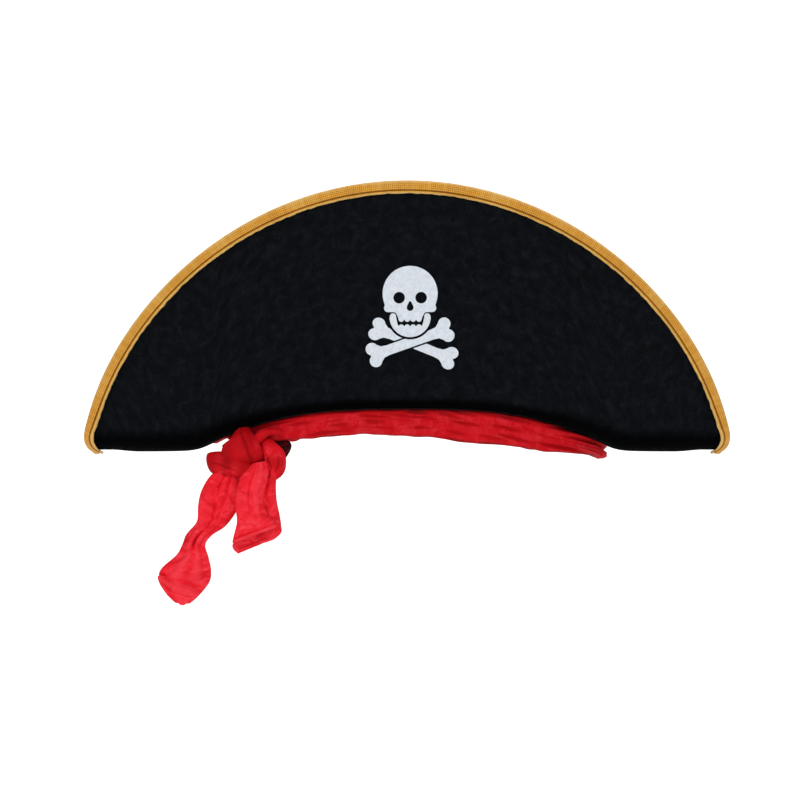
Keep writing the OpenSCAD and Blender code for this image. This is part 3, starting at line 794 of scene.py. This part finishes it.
def crownColumns(a, ups, off, lowZ=None):
    # off may change from point to point; the first column stands on the brim, or hangs to lowZ
    first = foot(a) + 1.04 * ply + 0.15
    cols = []
    if lowZ is not None:
        cols += [belowPoint(a, lowZ + (foot(a) - lowZ) * t, off + 0 * a) for t in (0, 0.5, 1)]
    cols.append(belowPoint(a, first, off + 0 * a))
    cols += [crownPoint(a, up + 0 * a, off + 0 * a) for up in ups]
    return np.stack(cols, 1)


def crownLayer(name, a, ups, low, high, material, lowZ=None, loop=False, seams=False):
    grids = [crownColumns(a, ups, off, lowZ) for off in (low, high)]
    if seams:  # the velour is drawn in along its sewn edges
        edgeGap = np.minimum(np.abs(a - a[0]), np.abs(a - a[-1])) * holeB
        dip = 0.75 * np.exp(-((edgeGap / 1.6) ** 2))
        middle = (grids[0] + grids[1]) / 2
        grids = [middle + (g - middle) * (1 - dip)[:, None, None] for g in grids]
    return slabPiece(name, grids[0], grids[1], material, loop)


print("making the crown")
wallUps = np.linspace(0.02, crown["seamUp"] - 0.004, 30)
for label, turn in (("front", math.pi), ("back", 0.0)):
    ease = np.linspace(0, math.pi, 140)
    piece = crownLayer(f"{label}_crown_wall", turn + ease, wallUps, 0.08, 1.08, velour, seams=True)
    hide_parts(f"crown_wall_{label}")
    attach(piece, "hat")
roundA = np.linspace(0, 2 * math.pi, crown["steps"], endpoint=False)


def topPanel():
    ups = np.concatenate([np.linspace(crown["seamUp"] + 0.004, 0.97, 34), [0.985, 0.995, 0.99999]])
    grids = []
    for off in (0.08, 1.08):
        drawn = off - (off - 0.5) * 0.8 * np.exp(-(((ups - ups[0]) / 0.012) ** 2))
        cols = [crownPoint(roundA, u + 0 * roundA, o + 0 * roundA) for u, o in zip(ups, drawn)]
        grids.append(np.stack(cols, 1))
    return slabPiece("crown_top_panel", grids[0], grids[1], velour, loop=True)


piece = topPanel()
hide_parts("crown_top")
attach(piece, "hat")
capUps = np.concatenate([np.linspace(0.02, 0.97, 36), [0.985, 0.995, 0.99999]])
hemZ = sashLowZ(roundA) + 2 + knotRise * knotLift(roundA)
foamIn = -cloth["crownFoam"]
for name, cad, low, high, material in (
    ("crown_foam_layer", "crown_interlining", foamIn, 0.0, foamCloth),
    ("crown_lining_layer", "crown_lining", foamIn - cloth["lining"], foamIn, liningCloth),
):
    piece = crownLayer(name, roundA, capUps, low, high, material, lowZ=hemZ, loop=True)
    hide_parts(cad)
    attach(piece, "hat")


def sweatbandPiece():
    a = np.linspace(0, 2 * math.pi, 360, endpoint=False)
    t = np.concatenate([np.linspace(0, 1, 40)])
    out, inn = [], []
    for h in t:
        z = sashLowZ(a) + 2 + knotRise * knotLift(a) * (1 - h) + 26 * h
        rows = 0.16 * np.abs(np.sin(math.pi * h * 9))  # ribs woven along the band
        stitched = 0.4 * np.exp(-(((h * 26 - 2.2) / 0.4) ** 2)) * (0.5 + 0.5 * np.sin(a * 150))
        soft = 0.35 * softNoise(a * holeB * 1.5, z, 40, 31) * math.sin(math.pi * h)
        face = -4.3 + 0.25 - rows + stitched + soft
        inn.append(belowPoint(a, z, face))
        out.append(belowPoint(a, z, -3.45 + 0 * a))
    return slabPiece("sewn_sweatband", np.stack(inn, 1), np.stack(out, 1), bandCloth, loop=True)


piece = sweatbandPiece()
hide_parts("sweatband")
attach(piece, "hat")


def labelPiece():
    low, high = boxMm("care_label")
    u, v = np.meshgrid(np.linspace(0, 1, 30), np.linspace(0, 1, 26), indexing="ij")
    x = low[0] + (high[0] - low[0]) * u
    z = low[2] + (high[2] - low[2]) * v
    sag = (1 - v) ** 2
    y = low[1] - 1.6 * sag * (0.5 + 0.5 * np.sin(u * 5.0 + 0.6)) - 0.3 * sag
    back = np.stack([x, y + 0.3, z], -1)
    front = np.stack([x, y, z], -1)
    return slabPiece("blank_care_label", back, front, satin)


piece = labelPiece()
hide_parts("care_label")
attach(piece, "hat")

# ---- sash band: one folded cloth sewn round the opening
sash = dict(steps=420, rows=34, puff=2.6, folds=1.5)


def sashBand():
    a = np.linspace(0, 2 * math.pi, sash["steps"], endpoint=False)
    d = 2 * math.pi / sash["steps"]
    u = np.cumsum(np.sqrt((holeA * np.sin(a)) ** 2 + (holeB * np.cos(a)) ** 2) * d)
    whole = u[-1]
    turn = 2 * math.pi * u / whole
    turnX, turnY = np.cos(turn) * whole / 6.28, np.sin(turn) * whole / 6.28
    side = np.abs(np.cos(a)) ** 6 * np.where(np.cos(a) > 0, 1, -0.45)  # fuller away from the knot
    roof = floorZ(belowPoint(a, 0 * a, 3.0)[:, 0]) - 1.04 * halfPly - 0.5 + 0.45 * knotLift(a)
    low = sashLowZ(a) + knotRise * knotLift(a)
    low = low + 0.7 * softNoise(turnX, turnY, 46, 21) + 0.3 * softNoise(turnX, turnY, 14, 22)
    low = np.minimum(low, roof - 0.45)
    inner, outer, paintedShading = [], [], []
    for t in np.linspace(0, 1, sash["rows"]):
        z = low + (roof - low) * t
        ridge = softNoise(turnX * 0.16 + 40, turnY * 0.16 + 3.0 * (z - low) * 0.42, 5.2, 23)
        small = softNoise(turnX * 0.4, turnY * 0.4 + z, 5.5, 24)
        roll = math.sqrt(max(0.0, 1 - (1 - min(t / 0.13, 1)) ** 2))
        tuck = math.sqrt(max(0.0, 1 - max(0, (t - 0.86) / 0.14) ** 2)) * 0.75 + 0.25
        fold = sash["folds"] * (1 - 1.7 * np.abs(ridge)) + 0.28 * small
        off = 0.9 + roll * (1.2 + sash["puff"] * (0.5 + 1.1 * side) + fold * (0.55 + 0.25 * side)) * tuck
        outer.append(belowPoint(a, z, np.maximum(off, 0.75)))
        inner.append(belowPoint(a, z, 0.2 + 0 * a))
        # painted shade: some all over the band, more at the top under the brim and at the bottom, and more in
        # the folds
        edges = 0.45 * smooth((t - 0.78) / 0.22) + 0.2 * smooth((0.12 - t) / 0.12)
        paintedShading.append(0.3 + edges + 0.22 * smooth((np.abs(ridge) - 0.5) / 0.6))
    inner, outer, paintedShading = (np.stack(rows, 1) for rows in (inner, outer, paintedShading))
    return slabPiece("sash_band_cloth", inner, outer, velvet, loop=True, paintedShading=paintedShading)


print("making the sash")
piece = sashBand()
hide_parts("sash_band")
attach(piece, "hat")


# ---- knot: the cloth's turns, each a soft roll that narrows where it goes under another
def curve(rows, count):
    # a smooth run through rows of numbers
    rows = np.asarray(rows, float)
    t = np.linspace(0, len(rows) - 1, count)
    i = np.minimum(t.astype(int), len(rows) - 2)
    f = (t - i)[:, None]
    before, after = np.maximum(i - 1, 0), np.minimum(i + 2, len(rows) - 1)
    p0, p1, p2, p3 = rows[before], rows[i], rows[i + 1], rows[after]
    bend = 2 * p0 - 5 * p1 + 4 * p2 - p3
    twist = 3 * p1 - p0 - 3 * p2 + p3
    return 0.5 * (2 * p1 + (p2 - p0) * f + bend * f**2 + twist * f**3)


def clothRoll(name, rows, seed, wrinkles=5, depth=0.13, count=80, sides=64, blunt=0.12, dark=0.25):
    # rows: x, y, z of the middle, half width, half thickness
    line = curve(rows, count)
    middle, wide, thick = line[:, :3], line[:, 3], line[:, 4]
    along = unit(np.gradient(middle, axis=0))
    across = unit(np.cross([0, 1.0, 0], along))
    out = np.cross(along, across)
    u = np.concatenate([[0], np.cumsum(np.linalg.norm(np.diff(middle, axis=0), axis=1))])
    t = np.linspace(0, 1, count)
    close = np.sqrt(np.clip(1 - np.clip(1 - np.minimum(t, 1 - t) / blunt, 0, 1) ** 2, 0.0004, 1))
    g = np.linspace(0, 2 * math.pi, sides, endpoint=False)
    ts, gs = np.meshgrid(t, g, indexing="ij")
    r = np.random.default_rng(seed)
    crease = np.zeros_like(ts)
    for k in range(wrinkles):
        at = r.uniform(0, 2 * math.pi) + r.uniform(-0.9, 0.9) * (ts - 0.5) * 2.2
        gap = (gs - at + math.pi) % (2 * math.pi) - math.pi
        start, stop = r.uniform(-0.2, 0.4), r.uniform(0.6, 1.2)
        length = smooth((ts - start) / 0.25) * smooth((stop - ts) / 0.25)
        crease = crease + length * (np.exp(-((gap / 0.34) ** 2)) - 1.5 * np.exp(-((gap / 0.16) ** 2)))
    lump = softNoise(u[:, None] + 0 * gs, wide.mean() * gs, 11, seed + 50)
    radius = (1 + depth * crease + 0.05 * lump) * close[:, None]
    points = (
        middle[:, None]
        + (radius * np.cos(gs) * wide[:, None])[..., None] * across[:, None]
        + (radius * np.sin(gs) * thick[:, None])[..., None] * out[:, None]
    )
    faces = []
    for i in range(count - 1):
        for j in range(sides):
            a, b = i * sides + j, i * sides + (j + 1) % sides
            faces.append((a, b, b + sides, a + sides))
    faces.append(tuple(range(sides - 1, -1, -1)))
    faces.append(tuple((count - 1) * sides + j for j in range(sides)))
    lay = np.stack([u[:, None] + 0 * gs, wide.mean() * gs, 0 * gs], -1)
    # painted shade: dark over the whole roll, more along the creases and at the tucked ends, and varied with
    # the lumps
    paintedShading = dark + 0.55 * np.clip(-crease, 0, 1) + 0.5 * (1 - close[:, None]) + 0.12 * lump
    return makePiece(name, points.reshape(-1, 3), faces, velvet, lay.reshape(-1, 3), paintedShading)


knotY = (boxMm("knot_wrap")[0][1] + boxMm("knot_wrap")[1][1]) / 2
front = knotY - 3


def knotPieces():
    y = front
    return [
        clothRoll(
            "knot_centre_fold",
            [
                [-112, y + 7, 18, 2.5, 2.5], [-113, y + 2, 13, 6, 5], [-113, y - 1.5, 7, 10.5, 6.5],
                [-113.5, y - 3, 1, 14, 6.5], [-114, y - 1, -4.5, 14, 5.5], [-114, y + 5, -7, 10, 3.5],
            ],
            3, wrinkles=6, depth=0.16, blunt=0.06, dark=0.46,
        ),
        clothRoll(
            "knot_left_turn",
            [
                [-137, y + 6, -7.6, 6.4, 2.4], [-134.5, y + 3, -7.3, 7.4, 4.0], [-127, y, -7.6, 7.8, 5.2],
                [-118, y - 3, -10.6, 6.6, 5.2], [-110, y - 3.5, -14, 5.4, 4.5], [-103, y, -16.5, 4, 3],
            ],
            5, wrinkles=6, depth=0.16, blunt=0.028, dark=0.42,
        ),
        # the heart lies in the knot's hollow and is painted in full shade
        clothRoll(
            "knot_heart",
            [
                [-124, y + 9, -2, 5, 3], [-114, y + 9, -3, 9, 4], [-102, y + 8.5, -3, 11, 4.5],
                [-93, y + 8.5, 0, 9, 4.5], [-86, y + 8, 3.5, 6.5, 4], [-80.5, y + 8, 6, 3, 3],
            ],
            6, wrinkles=5, dark=1.0,
        ),
        clothRoll(
            "knot_band_lip",
            [
                [-74, y + 9, 12, 3, 2.2], [-80, y + 5, 10.5, 3.4, 2.6], [-87.5, y, 13.2, 2.8, 3.4],
                [-95, y - 2.5, 14.4, 2.8, 4], [-101.5, y - 2, 11.2, 3.6, 4], [-105.5, y + 2, 5.5, 3, 3],
            ],
            8, wrinkles=4, depth=0.1, blunt=0.05, dark=0.38,
        ),
        clothRoll(
            "knot_right_turn",
            [
                [-99, y + 3, 8, 3, 2.6], [-95.5, y - 1.5, 3.5, 5.4, 4], [-91.5, y - 3.5, -3, 7.2, 4.6],
                [-90.3, y - 3, -10, 6.4, 4.4], [-93, y, -16, 4.5, 3.6], [-96, y + 3, -19, 3, 3],
            ],
            9, wrinkles=6, depth=0.16, blunt=0.05, dark=0.26,
        ),
    ]


turns = knotPieces()
for turnPiece in turns:
    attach(turnPiece, "hat")
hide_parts("knot_wrap")
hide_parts("knot_loop")


# ---- tails: a panel of cloth with soft pleats, its sides turned back and its end hemmed
def tailPanel(name, rows, depthAt, seed, thick=1.5, count=110, cols=60, curl=2.6, droop=0.0):
    # rows: left x, left z, right x, right z, y of the middle
    line = curve(rows, count)
    left, right, y = line[:, 0:2], line[:, 2:4], line[:, 4]
    q = np.linspace(-1, 1, cols)
    width = np.linalg.norm(right - left, axis=1)
    flat = 1 - curl / np.maximum(width / 2, curl * 1.4)
    ts, qs = np.meshgrid(np.linspace(0, 1, count), q, indexing="ij")
    core = np.clip(np.abs(qs) / 0.78, 0, 1) * flat[:, None]
    bend = np.clip((np.abs(qs) - 0.78) / 0.22, 0, 1) * math.pi * 0.95
    part = np.sign(qs) * (core + (1 - flat[:, None]) * np.sin(bend))
    back = curl * (1 - np.cos(bend))
    mid, half = (left + right) / 2, (right - left) / 2
    x = mid[:, 0, None] + half[:, 0, None] * part
    z = mid[:, 1, None] + half[:, 1, None] * part - droop * (1 - qs * qs) * smooth((ts - 0.8) / 0.2)
    u = np.concatenate([[0], np.cumsum(np.linalg.norm(np.diff(mid, axis=0), axis=1))])[:, None] + 0 * ts
    v = qs * width[:, None] / 2
    soft = 0.45 * softNoise(u, v, 13, seed) + 0.22 * softNoise(u, v, 5, seed + 1)
    calm = smooth((1 - np.abs(qs)) / 0.2) * 0.7 + 0.3
    surface = np.stack([x, y[:, None] + back + depthAt(ts, qs) - soft * calm, z], -1)
    n = np.cross(np.gradient(surface, axis=0), np.gradient(surface, axis=1))
    n = unit(n)
    if n[:, cols // 2, 1].mean() > 0:
        n = -n
    lay = np.stack([u, v, 0 * u], -1)
    taper = np.sqrt(np.clip(1 - np.clip((np.abs(ts - 0.5) - 0.485) / 0.015, 0, 1) ** 2, 0.02, 1))
    h = thick / 2 * taper[..., None]
    hollow = depthAt(ts, qs) - softNoise(u, v, 13, seed) * 0.45
    # painted shade in the pleats' hollows and along the turned-back sides, painted highlight on the ridges,
    # and the whole tail a little paler
    paintedShading = 0.66 * smooth((hollow - 0.1) / 2.2) - 0.4 * smooth((-hollow - 0.9) / 2.4) - 0.12
    paintedShading = paintedShading + 0.25 * smooth((np.abs(qs) - 0.9) / 0.1)
    return slabPiece(name, surface - n * h, surface + n * h, velvet, paintedShading=paintedShading)


def hemRidge(t, at, size):
    return size * np.exp(-(((t - at) / 0.018) ** 2))


rootLong = next(j for j in frame["joints"] if j["name"] == "long_tail_swing")["pos_m"]
rootShort = next(j for j in frame["joints"] if j["name"] == "short_tail_swing")["pos_m"]


def longTail():
    y = rootLong[1] / mm - 2
    rows = [
        [-131, -12.5, -116.5, -17.5, y - 2], [-137.5, -19, -116.5, -26, y - 1.5], [-142.3, -28, -117, -36, y],
        [-144.3, -37.5, -120.5, -43.5, y], [-145.2, -48.5, -127, -51.5, y], [-152.5, -57.5, -136, -57.5, y],
        [-155.3, -64.5, -140.6, -64.5, y], [-159.5, -72, -138.3, -73.5, y], [-169.5, -81, -136.6, -82.5, y],
        [-172, -88.5, -138, -90.5, y], [-166.3, -98, -145.5, -99.6, y], [-160, -104, -151.5, -104.4, y],
    ]

    def depth(t, q):
        pinch = 1.9 * np.exp(-(((t - 0.5) / 0.09) ** 2)) * np.cos(q * 8 + 0.6)
        long = 2.0 * np.exp(-(((q + 0.15 - 0.5 * (t - 0.2)) / 0.13) ** 2)) * smooth((0.62 - t) / 0.15)
        second = 1.6 * np.exp(-(((q - 0.35 + 0.3 * t) / 0.12) ** 2)) * smooth((0.55 - t) / 0.1)
        belly = -2.2 * (1 - q * q) * (0.5 + 0.8 * smooth((t - 0.55) / 0.25))
        fan = 1.3 * np.sin(q * 9 + 1.2) * smooth((t - 0.56) / 0.1) * smooth((0.86 - t) / 0.1)
        sewn = 0.868 + 0.03 * q - 0.225 * np.clip(-q - 0.45, 0, 1) ** 2
        hem = -hemRidge(t, sewn, 2.4) + hemRidge(t, sewn - 0.042, 1.9) + hemRidge(t, sewn + 0.036, 1.2)
        return pinch + long + second + belly + fan + hem

    return tailPanel("long_tail_cloth", rows, depth, 41, droop=2.2)


def shortTail():
    y = rootShort[1] / mm - 1
    frontRows = [
        [-106, -8, -98, -6, y], [-112, -13.5, -96.4, -12, y - 1.5], [-115.5, -20, -97.6, -20, y - 1.5],
        [-118, -30, -100, -30, y], [-118, -39.5, -99, -39, y],
        [-117.2, -48.5, -96, -44.5, y], [-119.5, -58.5, -92, -48.5, y], [-120.4, -63, -88.8, -51.5, y],
    ]
    backRows = [
        [-104, -15, -91, -15, y + 6], [-107, -24, -91.6, -24, y + 6], [-110, -36, -91, -34, y + 6.5],
        [-113, -48, -89, -44, y + 7], [-118.5, -60, -88, -51, y + 7.5], [-120.4, -66, -88, -55.8, y + 8],
        [-116.5, -70.3, -93, -60.5, y + 8],
    ]

    def frontDepth(t, q):
        ridge = -1.9 * np.exp(-(((q - 0.5) / 0.2) ** 2)) * smooth((0.85 - t) / 0.25)
        groove = 1.6 * np.exp(-(((q + 0.25 - 0.3 * t) / 0.1) ** 2)) * smooth((0.75 - t) / 0.3)
        belly = -1.8 * (1 - q * q)
        hem = -hemRidge(t, 0.945, 1.6) + hemRidge(t, 0.895, 1.5)
        return ridge + groove + belly + hem

    def backDepth(t, q):
        return -1.0 * (1 - q * q) + 0.8 * np.sin(q * 6 + t * 2) - hemRidge(t, 0.92, 0.9)

    return (
        tailPanel("short_tail_front_cloth", frontRows, frontDepth, 51),
        tailPanel("short_tail_back_cloth", backRows, backDepth, 57),
    )


long = longTail()
shortFront, shortBack = shortTail()
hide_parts("sash_tail_long", "tail_long_hem")
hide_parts("sash_tail_short", "tail_short_hem")
for piece, body, root, flat in (
    (long, "long_tail", rootLong, (0.1, 0.05)),
    (shortFront, "short_tail", rootShort, (0.055, 0.045)),
    (shortBack, "short_tail", rootShort, (0.055, 0.045)),
):
    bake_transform(piece)

# ---- studio
view = dict(width=553.0, aimX=-4.9, aimZ=36.0, away=7.0, lens=190.0)


def studio():
    camera = bpy.data.objects.new("camera", bpy.data.cameras.new("camera"))
    bpy.context.scene.collection.objects.link(camera)
    camera.data.lens = view["lens"]
    camera.data.sensor_width = view["lens"] * view["width"] * mm / view["away"]
    camera.location = (view["aimX"] * mm, -view["away"] - 0.06, view["aimZ"] * mm)
    camera.rotation_euler = (math.pi / 2, 0, 0)
    camera.data.clip_end = 50
    bpy.context.scene.camera = camera

    def lamp(name, place, size, power, colour=(1, 1, 1)):
        light = bpy.data.lights.new(name, "AREA")
        light.shape = "DISK"
        light.size = size
        light.energy = power
        light.color = colour
        holder = bpy.data.objects.new(name, light)
        bpy.context.scene.collection.objects.link(holder)
        holder.location = place
        holder.rotation_euler = (Vector((0, 0, 0.04)) - Vector(place)).to_track_quat("-Z", "Y").to_euler()
        holder.visible_camera = False

    lamp("key", (-1.6, -2.6, 2.2), 1.6, 36)
    lamp("fill", (2.2, -2.2, 1.2), 1.8, 15)
    lamp("top", (0.0, 0.3, 2.6), 1.6, 20)
    lamp("back", (0.4, 3.0, 1.8), 1.8, 20)
    world = bpy.data.worlds.new("pale room")
    world.use_nodes = True
    world.node_tree.nodes["Background"].inputs["Color"].default_value = (1, 1, 1, 1)
    world.node_tree.nodes["Background"].inputs["Strength"].default_value = 0.32
    bpy.context.scene.world = world

    profile = [(r, -0.32) for r in np.linspace(0.001, 9.0, 13)]
    cove = np.linspace(0.1, math.pi / 2, 12)
    profile += [(9.0 + 2.0 * math.sin(a), 1.68 - 2.0 * math.cos(a)) for a in cove]
    profile += [(11.0, 6.0)]
    around = 96
    angles = [2 * math.pi * k / around for k in range(around)]
    points = [(r * math.cos(a) / mm, r * math.sin(a) / mm, z / mm) for a in angles for r, z in profile]
    faces = gridFaces(around, len(profile), loop=True)
    material, tree, shader, lay = startMaterial("pale studio sweep", Roughness=0.9)
    seen = tree.nodes.new("ShaderNodeLightPath").outputs["Is Camera Ray"]
    tree.links.new(maths(tree, "MULTIPLY_ADD", seen, 0.6, 0.2), shader.inputs["Emission Strength"])
    shader.inputs["Base Color"].default_value = (0.88, 0.88, 0.88, 1)
    shader.inputs["Emission Color"].default_value = (1, 1, 1, 1)
    sweep = makePiece("studio_sweep", points, faces, material)
    bpy.context.scene.view_settings.view_transform = "Standard"


print("setting up the studio")
studio()
